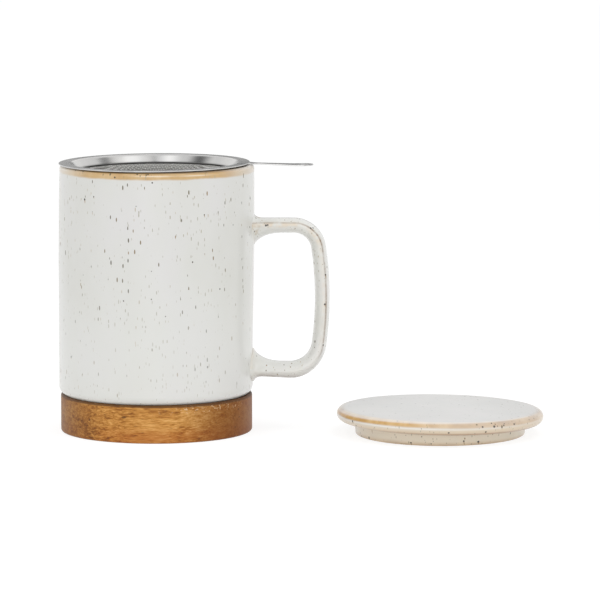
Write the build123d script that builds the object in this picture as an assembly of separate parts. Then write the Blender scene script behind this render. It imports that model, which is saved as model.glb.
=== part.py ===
from build123d import *
import math
import os

# Lidded tea mug with a strainer: a stoneware mug on a wooden base, a stainless infuser that
# hangs in the mug by its flange, and a stoneware lid that lies on the table beside the mug.
# Millimetres, +Z up, +X towards the mug's handle. The origin is the centre of the base's
# underside, on the mug's axis. Turned pieces are outlines of (radius, height) corners.

# ---------------------------------------------------------------- wooden base
base_radius = 42.3
base_height = 16.8
base_top_round = 1.2
base_bottom_round = 1.0
recess_depth = 4.0

# ---------------------------------------------------------------- mug body
lip_radius = 43.1             # outside of the wall at the lip
shoulder_radius = 42.7        # outside of the wall at the shoulder: the mould's draft
body_height = 101.1           # from the underside of the shoulder to the top of the lip
wall = 4.0
lip_land = 0.3                # flat left on the crest between the lip's two rounds
shoulder_round = 4.2
floor_thickness = 5.5
floor_round = 8.0             # inside, where the wall meets the floor
foot_radius = 34.0
foot_ring_width = 4.5
foot_hollow = 1.5
foot_round = 0.8
foot_side_clearance = 0.5     # between the foot ring and the side of the recess
foot_seat_clearance = 0.1     # between the foot ring and the recess floor
shoulder_gap = 0.25           # shadow gap between the shoulder and the top of the base

# ---------------------------------------------------------------- mug handle
handle_reach = 30.9           # from the lip radius out to the ridge line of the grip
upper_arm_height = 74.6       # ridge line of the upper arm above the shoulder
lower_arm_height = 9.6        # ridge line of the lower arm above the shoulder
upper_bend_radius = 11.8
lower_bend_radius = 13.6
grip_bow = 150.0              # large radius of the gently bowed grip
strap_width = 13.5
strap_outside = 2.7           # thickness from the ridge line to the outer face
lower_outside = 3.6           # the same on the lower arm, where the strap is left heavier
strap_inside = 4.0            # thickness from the ridge line to the inner face
flare_length = 14.0           # stretch over which the inner face swells into the wall
flare_inside = 5.0            # how much the inner face swells at the wall
fillet_length = 4.5           # stretch over which the outer face and the sides swell
flare_outside = 2.6           # how much the outer face swells at the wall
flare_side = 2.0              # how much each side swells at the wall
handle_sections = 49

# ---------------------------------------------------------------- lid
lid_radius = 45.5
lid_disc_thickness = 5.9
lid_edge_land = 0.3           # flat left between the upper and lower rounds of the edge
ring_height = 5.6             # locating ring below the disc
ring_draft = 0.6              # how much narrower the ring is at its foot
ring_wall = 4.6
ring_round = 0.9
ring_inner_round = 2.0
lid_side_clearance = 1.2      # between the locating ring and the bore of the mug
lid_x = 125.2                 # where the lid lies on the table
lid_y = -11.0

# ---------------------------------------------------------------- infuser
sheet = 0.5                   # stainless sheet of the rim, clamp ring and handle
flange_overhang = 1.0         # flange edge beyond the crest of the lip
infuser_clearance = 3.4       # between the clamp ring and the bore of the mug
nesting_clearance = 0.05      # between collar, mesh and clamp ring
funnel_depth = 3.0
funnel_flare = 2.5            # how much wider the funnel is at the flange than at the collar
fold_round = 0.9
collar_height = 3.0
mesh_thickness = 0.4
mesh_margin = 0.3             # plain step between funnel and mesh edge, and mesh edge and ring
bowl_depth = 48.0             # from the underside of the flange to the bottom of the bowl
bowl_taper = 20.0             # degrees from upright
bowl_round = 12.0
# The woven cloth is far finer than this: the bowl has a coarse grid of windows in its place.
window_columns = 24
window_rows = 5
window_share = 0.74           # open part of the pitch, both round the bowl and up its side
window_sill = 2.0             # plain cloth left below the collar
floor_window = 5.4            # side of the square windows in the flat bottom
floor_bar = 1.8               # cloth between them
infuser_seat_clearance = 0.05
infuser_shift = -0.7          # the infuser hangs a little off the mug's axis, away from the handle

# ---------------------------------------------------------------- infuser handle
tab_inset = 1.3               # from the fold of the flange out to the welded end
tab_root_width = 9.0
tab_root_length = 2.6
tab_neck_width = 4.0
tab_paddle_width = 9.0
tab_length = 28.0             # from the edge of the flange to the tip
tab_hole_radius = 2.0
tab_neck_offset = 3.5         # from the edge of the flange to the narrowest place
tab_droop = 2.4               # degrees that the tab bends down beyond the flange

# ---------------------------------------------------------------- worked out from the above
shoulder_z = base_height + shoulder_gap
lip_z = shoulder_z + body_height
recess_floor_z = base_height - recess_depth
foot_z = recess_floor_z + foot_seat_clearance
crest_radius = lip_radius - wall / 2
bore_radius = lip_radius - wall

clamp_outer = bore_radius - infuser_clearance
mesh_outer = clamp_outer - sheet - nesting_clearance
collar_outer = mesh_outer - mesh_thickness - nesting_clearance
fold_radius = collar_outer + funnel_flare
flange_radius = crest_radius + flange_overhang
collar_bottom = -funnel_depth - collar_height
mesh_top = -funnel_depth - mesh_margin

# The tab lies between the flange and the lip on one side, so the infuser hangs tilted: its
# flange rests on the lip itself on the far side, and on the thickness of the tab on this one.
tilt = math.degrees(math.atan(sheet / (2 * crest_radius)))
infuser_z = lip_z + infuser_seat_clearance + sheet / 2
infuser_place = Pos(infuser_shift, 0, infuser_z) * Rot(0, -tilt, 0)

along_y = Vector(0, 1, 0)


def turned(*corners):
    """Solid turned about Z from a closed outline; each corner is (radius, height, rounding)."""
    points = [(radius, height) for radius, height, rounding in corners]
    rounds = [rounding for radius, height, rounding in corners]
    outline = FilletPolyline(*points, radius=rounds, close=True)
    return revolve(Plane.XZ * make_face(outline), Axis.Z)


def wooden_base():
    """Disc with eased edges and a shallow recess for the foot of the mug."""
    recess_radius = foot_radius + foot_side_clearance
    return turned(
        (0, 0, 0),
        (base_radius, 0, base_bottom_round),
        (base_radius, base_height, base_top_round),
        (recess_radius, base_height, 0),
        (recess_radius, recess_floor_z, 0),
        (0, recess_floor_z, 0),
    )


def body_outline():
    """Corners of the outside of the mug, from under the foot up to the lip."""
    lip_round = (wall - lip_land) / 2
    ring_inner = foot_radius - foot_ring_width
    return [
        (0, foot_z + foot_hollow, 0),
        (ring_inner, foot_z + foot_hollow, 0),
        (ring_inner, foot_z, 0),
        (foot_radius, foot_z, foot_round),
        (foot_radius, shoulder_z, 0),
        (shoulder_radius, shoulder_z, shoulder_round),
        (lip_radius, lip_z, lip_round),
    ]


def mug_body():
    """Cylinder with a full-round lip, a rounded shoulder and a narrower foot ring."""
    lip_round = (wall - lip_land) / 2
    return turned(
        *body_outline(),
        (bore_radius, lip_z, lip_round),
        (shoulder_radius - wall, shoulder_z + floor_thickness, floor_round),
        (0, shoulder_z + floor_thickness, 0),
    )


def body_envelope():
    """The mug's outside filled in, which the handle's roots are cut to."""
    return turned(*body_outline(), (0, lip_z, 0))


def ridge_line():
    """Line that the strap follows: two arms, two bends and a bowed grip, from wall to wall."""
    upper_z = shoulder_z + upper_arm_height
    lower_z = shoulder_z + lower_arm_height
    bow_x = lip_radius + handle_reach - grip_bow
    bow_z = (upper_z + lower_z) / 2
    # Each bend touches the bow from inside, which fixes how far out its centre lies.
    upper_reach = grip_bow - upper_bend_radius
    lower_reach = grip_bow - lower_bend_radius
    upper_turn = math.asin((upper_z - upper_bend_radius - bow_z) / upper_reach)
    lower_turn = math.asin((bow_z - lower_z - lower_bend_radius) / lower_reach)
    upper_centre = (bow_x + upper_reach * math.cos(upper_turn), upper_z - upper_bend_radius)
    lower_centre = (bow_x + lower_reach * math.cos(lower_turn), lower_z + lower_bend_radius)
    upper_turn = math.degrees(upper_turn)
    lower_turn = math.degrees(lower_turn)
    upper_bend = CenterArc(upper_centre, upper_bend_radius, 90, upper_turn - 90)
    grip = CenterArc((bow_x, bow_z), grip_bow, upper_turn, -upper_turn - lower_turn)
    lower_bend = CenterArc(lower_centre, lower_bend_radius, -lower_turn, lower_turn - 90)
    upper_arm = Line((crest_radius, upper_z), upper_bend @ 0)
    lower_arm = Line(lower_bend @ 1, (crest_radius, lower_z))
    return Plane.XZ * Wire([upper_arm, upper_bend, grip, lower_bend, lower_arm])


def swelling(from_wall, length):
    """1 at the wall, falling as a cube to 0 at the given distance from it."""
    return max(0.0, 1 - max(from_wall, 0.0) / length) ** 3


def outer_thickness(height):
    """Ridge line to outer face: thicker through the lower bend, as a square, to the arm."""
    into_bend = 1 - (height - shoulder_z - lower_arm_height) / lower_bend_radius
    return strap_outside + (lower_outside - strap_outside) * max(0.0, into_bend) ** 2


def strap_section(place, from_wall):
    """Two half ellipses that meet on the ridge lines, wider and thicker near the wall."""
    fillet = swelling(from_wall, fillet_length)
    half_width = strap_width / 2 + flare_side * fillet
    outside = outer_thickness(place.origin.Z) + flare_outside * fillet
    inside = strap_inside + flare_inside * swelling(from_wall, flare_length)
    outer_half = EllipticalCenterArc((0, 0), half_width, outside, arc_size=180)
    inner_half = EllipticalCenterArc((0, 0), half_width, inside, 180, arc_size=180)
    return place * make_face([outer_half, inner_half])


def mug_handle():
    """Pulled strap, lofted along its ridge line, that flares into the wall at both roots."""
    line = ridge_line()
    inside_wall = lip_radius - crest_radius
    sections = []
    for index in range(handle_sections):
        # Sections crowd towards both roots, where the strap changes fastest.
        share = (1 - math.cos(math.pi * index / (handle_sections - 1))) / 2
        from_wall = min(share, 1 - share) * line.length - inside_wall
        place = Plane(origin=line @ share, x_dir=along_y, z_dir=line % share)
        sections.append(strap_section(place, from_wall))
    return loft(sections) - body_envelope()


def lid():
    """Round-edged disc on a hollow locating ring, lying on the table beside the mug."""
    edge_round = (lid_disc_thickness - lid_edge_land) / 2
    ring_top_radius = bore_radius - lid_side_clearance
    ring_foot_radius = ring_top_radius - ring_draft
    hollow_radius = ring_foot_radius - ring_wall
    top_z = ring_height + lid_disc_thickness
    solid = turned(
        (hollow_radius, 0, 0),
        (ring_foot_radius, 0, ring_round),
        (ring_top_radius, ring_height, 0),
        (lid_radius, ring_height, edge_round),
        (lid_radius, top_z, edge_round),
        (0, top_z, 0),
        (0, ring_height, 0),
        (hollow_radius, ring_height, ring_inner_round),
    )
    return Pos(lid_x, lid_y, 0) * solid


def infuser_rim():
    """One stamping: a flat flange, folded down through a funnel to a short upright collar."""
    slope = math.atan2(funnel_depth, funnel_flare)
    collar_inner = collar_outer - sheet
    # Corners of the upper face lie one sheet thickness off those of the lower face.
    upper_fold = fold_radius - sheet * math.tan(slope / 2)
    upper_bend = -funnel_depth + sheet * math.tan((math.pi / 2 - slope) / 2)
    return infuser_place * turned(
        (collar_inner, collar_bottom, 0),
        (collar_outer, collar_bottom, 0),
        (collar_outer, -funnel_depth, 0),
        (fold_radius, 0, fold_round),
        (flange_radius, 0, 0),
        (flange_radius, sheet, 0),
        (upper_fold, sheet, fold_round + sheet),
        (collar_inner, upper_bend, 0),
    )


def bowl_form(radius, depth, rounding):
    """Filled bowl: upright beside the collar, then tapered down to a rounded bottom."""
    taper_run = (depth + collar_bottom) * math.tan(math.radians(bowl_taper))
    return turned(
        (0, mesh_top, 0),
        (radius, mesh_top, 0),
        (radius, collar_bottom, 0),
        (radius - taper_run, -depth, rounding),
        (0, -depth, 0),
    )


def side_windows(floor_radius):
    """Cutters for the side of the bowl, one row at a time: sectors round the axis, so that
    the cloth between them narrows as the bowl does."""
    half_angle = math.pi / window_columns * window_share
    across, out = math.sin(half_angle), math.cos(half_angle)
    reach = 2 * mesh_outer
    sector = make_face(Polyline(
        (floor_radius * out, -floor_radius * across),
        (reach * out, -reach * across),
        (reach * out, reach * across),
        (floor_radius * out, floor_radius * across),
        close=True,
    ))
    sectors = Sketch() + [place * sector for place in PolarLocations(0, window_columns)]
    top = collar_bottom - window_sill
    row_pitch = (top + bowl_depth - mesh_thickness) / window_rows
    row_height = row_pitch * window_share
    for row in range(window_rows):
        yield Pos(0, 0, top - row * row_pitch - row_height) * extrude(sectors, row_height)


def floor_windows(floor_radius):
    """Cutter for the flat bottom: as many square windows as fit inside its radius."""
    pitch = floor_window + floor_bar
    count = 2 * int(floor_radius / pitch) + 1
    pane = Rectangle(floor_window, floor_window)
    furthest = floor_radius - math.hypot(floor_window, floor_window) / 2
    places = [
        place for place in GridLocations(pitch, pitch, count, count)
        if place.position.length < furthest
    ]
    panes = Sketch() + [place * pane for place in places]
    return Pos(0, 0, -bowl_depth) * extrude(panes, mesh_thickness, both=True)


def infuser_mesh():
    """Bowl of woven wire, drawn from one piece, as a shell of the cloth's thickness."""
    outer = bowl_form(mesh_outer, bowl_depth, bowl_round)
    inner = bowl_form(mesh_outer - mesh_thickness, bowl_depth - mesh_thickness,
                      bowl_round - mesh_thickness)
    # The flat bottom ends where the rounding begins, half the corner's turn short of it.
    corner = mesh_outer - (bowl_depth + collar_bottom) * math.tan(math.radians(bowl_taper))
    turn = math.radians(90 - bowl_taper)
    floor_radius = corner - bowl_round * math.tan(turn / 2)
    bowl = outer - inner
    for row in side_windows(floor_radius):
        bowl -= row
    return infuser_place * (bowl - floor_windows(floor_radius))


def infuser_clamp_ring():
    """Plain band around the top of the mesh, which traps it against the collar."""
    inner = clamp_outer - sheet
    top = mesh_top - mesh_margin
    return infuser_place * turned(
        (inner, collar_bottom, 0),
        (clamp_outer, collar_bottom, 0),
        (clamp_outer, top, 0),
        (inner, top, 0),
    )


def circle_at(x, radius):
    """Circle on the tab's long axis."""
    return Pos(x, 0) * Circle(radius)


def tab_plan():
    """Outline of the tab from above: welded root, narrow neck and a round-ended paddle."""
    root_x = fold_radius + tab_inset
    neck_x = flange_radius + tab_neck_offset
    paddle_x = flange_radius + tab_length - tab_paddle_width / 2
    root_pad = Pos(root_x + tab_root_length / 2, 0) * Rectangle(tab_root_length, tab_root_width)
    neck = circle_at(neck_x, tab_neck_width / 2)
    paddle = circle_at(paddle_x, tab_paddle_width / 2)
    root_taper = make_hull(root_pad.edges() + neck.edges())
    paddle_taper = make_hull(neck.edges() + paddle.edges())
    return root_taper + paddle_taper - circle_at(paddle_x, tab_hole_radius)


def infuser_handle():
    """Stamped tab: flat under the flange, bent slightly down beyond it, then flat again."""
    root_x = fold_radius + tab_inset
    bend_x = flange_radius
    paddle_x = flange_radius + tab_length - tab_paddle_width
    tip_x = flange_radius + tab_length
    drop = (paddle_x - bend_x) * math.tan(math.radians(tab_droop))
    upper = [(root_x, 0), (bend_x, 0), (paddle_x, -drop), (tip_x, -drop)]
    lower = [(x, height - sheet) for x, height in reversed(upper)]
    side = Plane.XZ * make_face(Polyline(*upper, *lower, close=True))
    strip = extrude(side, tab_paddle_width, both=True)
    prism = extrude(tab_plan(), drop + 2 * sheet, both=True)
    return infuser_place * (strip & prism)


pieces = {
    "wooden_base": wooden_base,
    "mug_body": mug_body,
    "mug_handle": mug_handle,
    "lid": lid,
    "infuser_rim": infuser_rim,
    "infuser_mesh": infuser_mesh,
    "infuser_clamp_ring": infuser_clamp_ring,
    "infuser_handle": infuser_handle,
}

os.makedirs("parts", exist_ok=True)
for name, build in pieces.items():
    export_step(build(), f"parts/{name}.step")
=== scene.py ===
import math

import bmesh
import bpy
import numpy as np
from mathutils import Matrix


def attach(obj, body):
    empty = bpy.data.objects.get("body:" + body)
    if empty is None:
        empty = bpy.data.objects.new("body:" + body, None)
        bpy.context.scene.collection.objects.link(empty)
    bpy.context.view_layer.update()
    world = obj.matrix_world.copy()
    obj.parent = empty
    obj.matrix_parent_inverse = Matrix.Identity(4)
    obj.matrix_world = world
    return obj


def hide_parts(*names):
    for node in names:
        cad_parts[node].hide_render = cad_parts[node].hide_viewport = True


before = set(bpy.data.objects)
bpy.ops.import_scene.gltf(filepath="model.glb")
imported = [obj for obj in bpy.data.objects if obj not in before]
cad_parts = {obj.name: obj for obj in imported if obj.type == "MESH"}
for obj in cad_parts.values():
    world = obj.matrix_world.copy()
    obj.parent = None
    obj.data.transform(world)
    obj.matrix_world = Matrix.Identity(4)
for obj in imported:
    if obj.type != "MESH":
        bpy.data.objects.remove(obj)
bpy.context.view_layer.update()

# Lidded tea mug with an infuser. Shapes are worked out in millimetres, +Z up, +X towards the
# mug's handle, with the origin under the middle of the wooden base, and become metres when a
# mesh is made. A turned piece is an outline of (radius, height) points carried round Z.

mm, sharp_angle = 0.001, math.radians(38)

# -------------------------------- sizes, as in the solids
base_radius, base_height, recess_depth = 42.3, 16.8, 4.0
lip_radius, shoulder_radius, body_height, wall = 43.1, 42.7, 101.1, 4.0
foot_radius, foot_ring_width, foot_hollow, floor_thickness = 34.0, 4.5, 1.5, 5.5
shoulder_z = base_height + 0.25
lip_z = shoulder_z + body_height
recess_floor_z = base_height - recess_depth
foot_z, recess_clearance = recess_floor_z + 0.1, 0.5
crest_radius, bore_radius = lip_radius - wall / 2, lip_radius - wall

handle_reach, upper_arm_height, lower_arm_height = 30.9, 74.6, 9.6
upper_bend_radius, lower_bend_radius, grip_bow = 11.8, 13.6, 150.0
strap_width, strap_outside, lower_outside, strap_inside = 13.5, 2.7, 3.6, 4.0

lid_radius, lid_disc_thickness, ring_height, ring_wall = 45.5, 5.9, 5.6, 4.6
lid_x, lid_y = 125.2, -11.0
ring_top_radius = bore_radius - 1.2
ring_foot_radius = ring_top_radius - 0.6

sheet = 0.5
clamp_outer = bore_radius - 3.4
mesh_outer = clamp_outer - sheet - 0.05
collar_outer = mesh_outer - 0.4 - 0.05
funnel_depth, funnel_flare, collar_bottom, bowl_depth = 3.0, 2.5, -6.0, 48.0
fold_radius = collar_outer + funnel_flare
flange_radius = crest_radius + 1.0
mesh_top = -funnel_depth - 0.3
cloth_pitch, wire = 1.1, 0.34
infuser_shift, infuser_z = -0.7, lip_z + 0.05 + sheet / 2
infuser_tilt = math.atan(sheet / (2 * crest_radius))
tab_reach, tab_droop, hole_radius = 28.0, math.radians(2.4), 2.0

# -------------------------------- what turning and firing left
# The dish in the wood, the mug's half widths at some heights, and how the mug and lid lean.
dish = 0.7
barrel_z = [17, 20, 47, 60, 81, 101, 108, lip_z]
barrel_half_width = [42.74, 42.92, 42.94, 43.1, 43.18, 43.09, 42.99, 42.88]
body_lean, upright_z, left_half_width = 0.0098, 65.0, 43.06
lid_lean, lid_thinning = 0.0134, 0.0045


# -------------------------------- shapes
def together(*parts):
    """Arrays spread to one shape and set side by side on a last axis: points or faces."""
    return np.stack(np.broadcast_arrays(*parts), axis=-1)


def coordinates(points):
    """The x, y and z of points, each as an array."""
    return np.moveaxis(points, -1, 0)


def full_turn(count):
    """Angles evenly spaced round a full turn, in radians."""
    return np.linspace(0, 2 * math.pi, count, endpoint=False)


def run_of(x, z):
    """Distance along a line of points from its start to each of them."""
    return np.concatenate([[0], np.cumsum(np.hypot(np.diff(x), np.diff(z)))])


def held(value):
    """The value, held between 0 and 1."""
    return np.clip(value, 0, 1)


def bell(value, centre, spread):
    """1 at the centre, falling to 1/e at `spread` from it and on towards 0."""
    return np.exp(-(((value - centre) / spread) ** 2))


def facing(angle, degrees):
    """1 in the given direction round Z, falling as a cosine to 0 on the far side."""
    return 0.5 + 0.5 * np.cos(angle - math.radians(degrees))


def arc_through(before, corner, after, rounding, steps):
    """Points of the arc of the given radius that touches both sides of a corner: the two end
    spokes are blended by sin((1 - u) w) and sin(u w) over sin w, u running from 0 to 1."""
    to_before = (before - corner) / np.linalg.norm(before - corner)
    to_after = (after - corner) / np.linalg.norm(after - corner)
    half = math.acos(np.clip(to_before @ to_after, -1, 1)) / 2
    middle = (to_before + to_after) / np.linalg.norm(to_before + to_after)
    centre = corner + middle * rounding / math.sin(half)
    first = corner + to_before * rounding / math.tan(half) - centre
    last = corner + to_after * rounding / math.tan(half) - centre
    turn = math.pi - 2 * half
    u = np.linspace(0, 1, steps)[:, None]
    return centre + (np.sin((1 - u) * turn) * first + np.sin(u * turn) * last) / math.sin(turn)


def outline(*corners, spacing, closed=False, steps=9):
    """Points along (radius, height, rounding) corners: straight runs about `spacing` apart,
    and an arc at each corner that has a rounding."""
    points = np.array([corner[:2] for corner in corners], float)
    count = len(corners)
    stops = []
    for i, (_, _, rounding) in enumerate(corners):
        inner = closed or 0 < i < count - 1
        if inner and rounding > 0:
            before, after = points[i - 1], points[(i + 1) % count]
            stops.append(arc_through(before, points[i], after, rounding, steps))
        else:
            stops.append(points[i : i + 1])
    runs = []
    for i, stop in enumerate(stops):
        runs.append(stop)
        if closed or i < count - 1:
            start, end = stop[-1], stops[(i + 1) % count][0]
            pieces = int(np.linalg.norm(end - start) / spacing)
            share = np.linspace(0, 1, pieces + 2)[1:-1, None]
            runs.append(start + (end - start) * share)
    return np.concatenate(runs)


def numbered(grid, start=0):
    """Numbers of the points of a grid, in its own layout."""
    return start + np.arange(grid[..., 0].size).reshape(grid.shape[:-1])


def quads_between(index):
    """Quads between neighbours over the last two axes of an array of point numbers."""
    near, far = index[..., :-1, :], index[..., 1:, :]
    return together(near[..., :-1], near[..., 1:], far[..., 1:], far[..., :-1])


def surface(name, grid, closed_rows=False, closed_columns=True, values=None):
    """Mesh over a grid of points in millimetres. A row whose points coincide becomes a pole."""
    index = numbered(grid)
    pole = np.ptp(grid, axis=1).max(axis=1) < 1e-9
    index[pole] = index[pole, :1]
    if closed_columns:
        index = np.hstack([index, index[:, :1]])
    if closed_rows:
        index = np.vstack([index, index[:1]])
    return mesh_piece(name, grid.reshape(-1, 3), quads_between(index), values)


def mesh_piece(name, points, quads, values=None):
    """Object from points in millimetres and quads, where a quad with a doubled corner is a
    triangle. `values` are named numbers, one for each point, that a finish may read."""
    used, quads = np.unique(quads, return_inverse=True)
    quads = quads.reshape(-1, 4)
    first, last = quads[:, 0] == quads[:, 1], quads[:, 2] == quads[:, 3]
    whole = ~(first | last)
    faces = quads[whole].tolist() + quads[first & ~last][:, [0, 2, 3]].tolist()
    faces += quads[last & ~first][:, [0, 1, 2]].tolist()
    mesh = bpy.data.meshes.new(name)
    mesh.from_pydata((points[used] * mm).tolist(), [], faces)
    for key, numbers in (values or {}).items():
        layer = mesh.attributes.new(key, "FLOAT", "POINT")
        layer.data.foreach_set("value", np.asarray(numbers, np.float32).reshape(-1)[used])
    mesh.shade_smooth()
    mesh.set_sharp_from_angle(angle=sharp_angle)
    piece = bpy.data.objects.new(name, mesh)
    bpy.context.scene.collection.objects.link(piece)
    return piece


def alter(piece, change):
    """Applies a change of faces and edges to a piece's mesh."""
    work = bmesh.new()
    work.from_mesh(piece.data)
    change(work)
    work.to_mesh(piece.data)
    work.free()


def turned(profile, columns):
    """Grid of the outline carried round Z: x = r cos a, y = r sin a, z = height."""
    angle = full_turn(columns)
    radius, height = profile[:, :1], profile[:, 1:]
    return together(radius * np.cos(angle), radius * np.sin(angle), height)


def slow_waves(angle, height, seed, length):
    """Gentle unevenness from -1 to 1: a few sines over angle and height with fixed phases."""
    rng = np.random.default_rng(seed)
    total = 0
    for turns in (2, 3, 5, 7, 11):
        phases = rng.uniform(0, 2 * math.pi, 2)
        lift = height / length * rng.uniform(0.6, 2.2)
        total = total + np.sin(turns * angle + phases[0] + lift) * np.cos(lift + phases[1])
    return total / 5


def hand_made(grid, depth, seed):
    """The grid drawn in towards its own axis by up to `depth`, unevenly, as thrown clay is."""
    x, y, z = coordinates(grid)
    radius, angle = np.hypot(x, y), np.arctan2(y, x)
    pull = depth * (0.5 + 0.5 * slow_waves(angle, z, seed, 20.0))
    scale = 1 - pull / np.maximum(radius, 1.0) * held(radius / 20)
    return together(x * scale, y * scale, z)


def hang(points):
    """Infuser's own place: leaned about Y so that the side over its handle is raised, then
    set down on the lip."""
    x, y, z = coordinates(points)
    c, s = math.cos(infuser_tilt), math.sin(infuser_tilt)
    return together(c * x - s * z + infuser_shift, y, s * x + c * z + infuser_z)


def wooden_base():
    """Turned disc with eased edges, a narrow flat rim round a slightly dished top, and a
    shallow recess for the foot."""
    recess, dish_z = foot_radius + recess_clearance, base_height - dish
    rim_inner, dish_outer = base_radius - 1.2, base_radius - 2.6
    profile = outline(
        (0, 0, 0), (base_radius, 0, 1.0), (base_radius, base_height, 1.1),
        (rim_inner, base_height, 0.1), (dish_outer, dish_z, 0.8), (recess, dish_z, 0.4),
        (recess, recess_floor_z, 0.4), (0, recess_floor_z, 0),
        spacing=1.6,
    )
    return surface("wooden_base_turned", turned(profile, 240))


def mug_body():
    """Cylinder with a full-round lip, a rounded shoulder and a reduced foot ring. As fired it
    is slightly barrelled and leans towards its handle: x is scaled to the half width at its
    height and carried by body_lean (z - upright_z)."""
    lip_round, low_z = (wall - 0.3) / 2, shoulder_z - (dish + 0.1)
    ring_inner, hollow_z = foot_radius - foot_ring_width, foot_z + foot_hollow
    floor_z = shoulder_z + floor_thickness
    profile = outline(
        (0, hollow_z, 0), (ring_inner, hollow_z, 0.6), (ring_inner, foot_z, 0.6),
        (foot_radius, foot_z, 0.8), (foot_radius, low_z, 0.8), (shoulder_radius, low_z, 4.0),
        (lip_radius - 0.02, lip_z, lip_round), (bore_radius, lip_z, lip_round),
        (shoulder_radius - wall, floor_z, 8.0), (0, floor_z, 0),
        spacing=1.25, steps=13,
    )
    grid = turned(profile, 288)
    # The lip stays true, because the infuser sits on it.
    from_lip = held((lip_z - 4 - grid[..., 2:]) / 15)
    grid = grid + (hand_made(grid, 0.03, 5) - grid) * from_lip
    x, _, height = coordinates(grid)
    taper = (lip_radius - shoulder_radius) / body_height
    straight = shoulder_radius + taper * (height - shoulder_z)
    lean = body_lean * (np.maximum(height, 32) - upright_z)
    right = np.interp(height, barrel_z, barrel_half_width)
    left = np.minimum(right, left_half_width + lean)
    grid[..., 0] = x * np.where(x < 0, left, right) / straight + lean
    return surface("mug_body_thrown", grid)


def ridge_line(stations):
    """Line that the strap follows, as x, z, heading and distance from the wall: an arm, a
    bend, a grip bowed to a large radius, a second bend and the second arm. Each bend is
    centre + radius (cos, sin) of a right angle past the heading."""
    upper_z, lower_z = shoulder_z + upper_arm_height, shoulder_z + lower_arm_height
    bow_x, bow_z = lip_radius + handle_reach - grip_bow, (upper_z + lower_z) / 2
    upper_reach, lower_reach = grip_bow - upper_bend_radius, grip_bow - lower_bend_radius
    upper_turn = math.asin((upper_z - upper_bend_radius - bow_z) / upper_reach)
    lower_turn = math.asin((bow_z - lower_z - lower_bend_radius) / lower_reach)
    upper_x = bow_x + upper_reach * math.cos(upper_turn)
    lower_x = bow_x + lower_reach * math.cos(lower_turn)
    upper_centre_z, lower_centre_z = upper_z - upper_bend_radius, lower_z + lower_bend_radius
    right = math.pi / 2
    into_grip, off_grip = upper_turn - right, -lower_turn - right
    arm, bend = 40, 90
    # Points, first and last heading, centre and radius of each stretch.
    stretches = [
        (arm, 0.0, 0.0, 0.0, upper_z, 0.0),
        (bend, 0.0, into_grip, upper_x, upper_centre_z, upper_bend_radius),
        (bend, into_grip, off_grip, bow_x, bow_z, grip_bow),
        (bend, off_grip, -math.pi, lower_x, lower_centre_z, lower_bend_radius),
        (arm, -math.pi, -math.pi, 0.0, lower_z, 0.0),
    ]
    count, start, end, *centre_and_radius = zip(*stretches)
    heading = np.concatenate([np.linspace(*turn) for turn in zip(start, end, count)])
    centre_x, centre_z, radius = (np.repeat(part, count) for part in centre_and_radius)
    x = centre_x + radius * np.cos(heading + right)
    z = centre_z + radius * np.sin(heading + right)
    x[:arm] = np.linspace(crest_radius, upper_x, arm)
    x[-arm:] = np.linspace(lower_x, crest_radius, arm)
    run = run_of(x, z)
    # Stations crowd towards both roots, where the strap changes fastest.
    share = (1 - np.cos(np.linspace(0, math.pi, stations))) / 2
    share = 0.55 * share + 0.45 * np.linspace(0, 1, stations)
    at = share * run[-1]
    from_wall = np.minimum(at, run[-1] - at) - (lip_radius - crest_radius)
    return np.interp(at, run, x), np.interp(at, run, z), np.interp(at, run, heading), from_wall


def swelling(from_wall, length, power=3):
    """1 at the wall, falling as a cube or other power to 0 at the given distance from it."""
    return held(1 - np.maximum(from_wall, 0) / length) ** power


def outer_thickness(height):
    """Ridge line to outer face: thicker through the lower bend, as a square, to the arm."""
    into_bend = 1 - (height - shoulder_z - lower_arm_height) / lower_bend_radius
    return strap_outside + (lower_outside - strap_outside) * np.maximum(into_bend, 0) ** 2


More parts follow.
